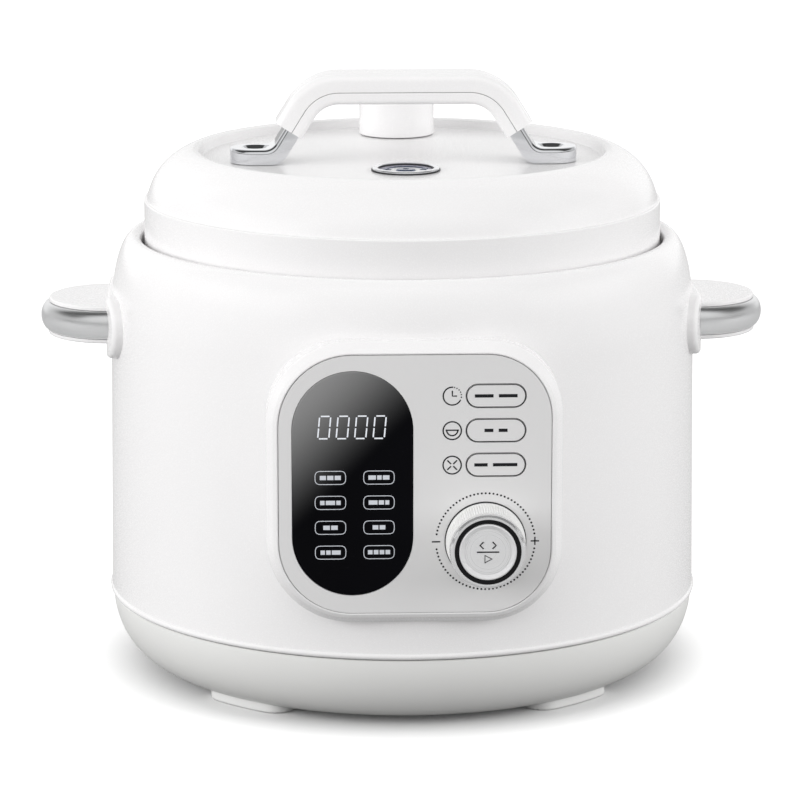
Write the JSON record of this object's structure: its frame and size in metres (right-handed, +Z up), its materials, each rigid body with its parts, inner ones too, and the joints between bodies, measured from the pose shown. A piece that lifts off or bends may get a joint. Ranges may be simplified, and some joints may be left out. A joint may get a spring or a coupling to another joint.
{
  "type": "electric pressure cooker",
  "caption": "Round white countertop pressure cooker with a twist-lock lid, bridge grip, side ears, removable pot and a front panel with knob, keys and display.",
  "frame": {"origin": "on the surface that the feet rest on, under the middle of the object's bounding box, which is the axis of the pot", "axes": "+Z up, the control panel faces -Y, +X runs to the right as one faces the panel"},
  "size_m": [0.35, 0.339, 0.2912],
  "materials": {
    "white_shell": "glossy warm white moulded plastic",
    "white_inner": "semi-gloss white moulded plastic",
    "steel_sheet": "drawn steel sheet",
    "pot_steel": "brushed stainless with spun rings",
    "steel_screw": "machined steel",
    "cast_aluminium": "turned cast aluminium",
    "element_black": "heat-blackened tube",
    "foot_white": "satin white plastic",
    "ceramic_white": "glazed ceramic body",
    "black_plastic": "fine-grained black plastic",
    "circuit_board": "green solder mask",
    "chrome_trim": "bright chrome plate",
    "satin_plate": "satin light grey lacquer",
    "display_black": "piano black window",
    "gloss_black": "gloss black ring",
    "satin_band": "satin steel band",
    "silicone_clear": "milky silicone",
    "silicone_red": "red silicone",
    "pearl_dish": "pearl lilac plastic",
    "float_blue": "dark blue grey lacquer"
  },
  "bodies": {
    "root": {"outer_shell": "white_shell", "base_shell": "white_inner", "base_plate": "steel_sheet", "base_screws": "steel_screw", "foot_front_left": "foot_white", "foot_front_right": "foot_white", "foot_rear_left": "foot_white", "foot_rear_right": "foot_white", "outer_pot": "steel_sheet", "rim_collar": "white_inner", "heating_plate": "cast_aluminium", "heating_element": "element_black", "spring_plate": "steel_sheet", "sensor_spring": "steel_screw", "thermal_fuse": "ceramic_white", "pressure_switch": "black_plastic", "power_board": "circuit_board", "power_parts": "black_plastic", "inlet_socket": "black_plastic", "inlet_pins": "chrome_trim", "panel_frame": "white_shell", "panel_plate": "satin_plate", "display_lens": "display_black", "display_module": "black_plastic", "control_board": "circuit_board", "control_case": "black_plastic", "key_switches": "black_plastic", "encoder": "steel_screw", "left_handle_top": "white_shell", "left_handle_band": "satin_band", "left_handle_base": "white_shell", "right_handle_top": "white_shell", "right_handle_band": "satin_band", "right_handle_base": "white_shell"},
    "lid_seat": {"sealing_ring": "silicone_clear"},
    "lid": {"lid_cover": "white_shell", "lid_plate": "steel_sheet", "lid_screws": "steel_screw", "vent_pipe": "steel_screw", "vent_nut": "steel_screw", "anti_block_cap": "steel_sheet", "float_ring": "chrome_trim", "float_dish": "pearl_dish", "grip_upper": "white_shell", "grip_lower": "white_shell", "grip_brackets": "chrome_trim", "bracket_screws": "chrome_trim"},
    "steam_valve": {"steam_valve_cap": "white_shell", "steam_valve_weight": "steel_screw"},
    "float_valve": {"float_pin": "float_blue", "float_seal": "silicone_red"},
    "pot": {"inner_pot": "pot_steel"},
    "knob": {"knob_ring": "white_shell", "knob_band": "gloss_black"},
    "start": {"start_button": "satin_plate"},
    "timer": {"timer_key": "satin_plate"},
    "texture": {"texture_key": "satin_plate"},
    "cancel": {"cancel_key": "satin_plate"},
    "sensor": {"sensor_cup": "cast_aluminium"},
    "cup": {"condensate_cup": "white_inner"}
  },
  "joints": [
    {"name": "lid_lift", "type": "slide", "parent": "root", "child": "lid_seat", "axis": [0, 0, 1], "range_m": [0, 0.36]},
    {"name": "lid_turn", "type": "hinge", "parent": "lid_seat", "child": "lid", "pos_m": [0, 0, 0.2], "axis": [0, 0, 1], "range_deg": [0, 22.5]},
    {"name": "pot_lift", "type": "slide", "parent": "root", "child": "pot", "axis": [0, 0, 1], "range_m": [0, 0.18]},
    {"name": "steam_valve_turn", "type": "hinge", "parent": "lid", "child": "steam_valve", "pos_m": [0, 0.074, 0.255], "axis": [0, 0, 1], "range_deg": [0, 35]},
    {"name": "float_rise", "type": "slide", "parent": "lid", "child": "float_valve", "axis": [0, 0, 1], "range_m": [0, 0.004]},
    {"name": "knob_turn", "type": "hinge", "parent": "root", "child": "knob", "pos_m": [0.0319, -0.1525, 0.0947], "axis": [0, -1, 0], "continuous": true},
    {"name": "start_press", "type": "slide", "parent": "root", "child": "start", "axis": [0, 1, 0], "range_m": [0, 0.001], "stiffness_N_per_m": 300, "springref_m": -0.002},
    {"name": "timer_press", "type": "slide", "parent": "root", "child": "timer", "axis": [0, 1, 0], "range_m": [0, 0.0008], "stiffness_N_per_m": 250, "springref_m": -0.002},
    {"name": "texture_press", "type": "slide", "parent": "root", "child": "texture", "axis": [0, 1, 0], "range_m": [0, 0.0008], "stiffness_N_per_m": 250, "springref_m": -0.002},
    {"name": "cancel_press", "type": "slide", "parent": "root", "child": "cancel", "axis": [0, 1, 0], "range_m": [0, 0.0008], "stiffness_N_per_m": 250, "springref_m": -0.002},
    {"name": "sensor_press", "type": "slide", "parent": "root", "child": "sensor", "axis": [0, 0, 1], "range_m": [-0.003, 0], "stiffness_N_per_m": 400, "springref_m": 0.004, "deforming": ["sensor_spring"]},
    {"name": "cup_slide", "type": "slide", "parent": "root", "child": "cup", "axis": [0, 1, 0], "range_m": [0, 0.06]}
  ],
  "couplings": [
    {"joint": "pot_lift", "follows": "lid_lift", "ratio": 0.5}
  ]
}
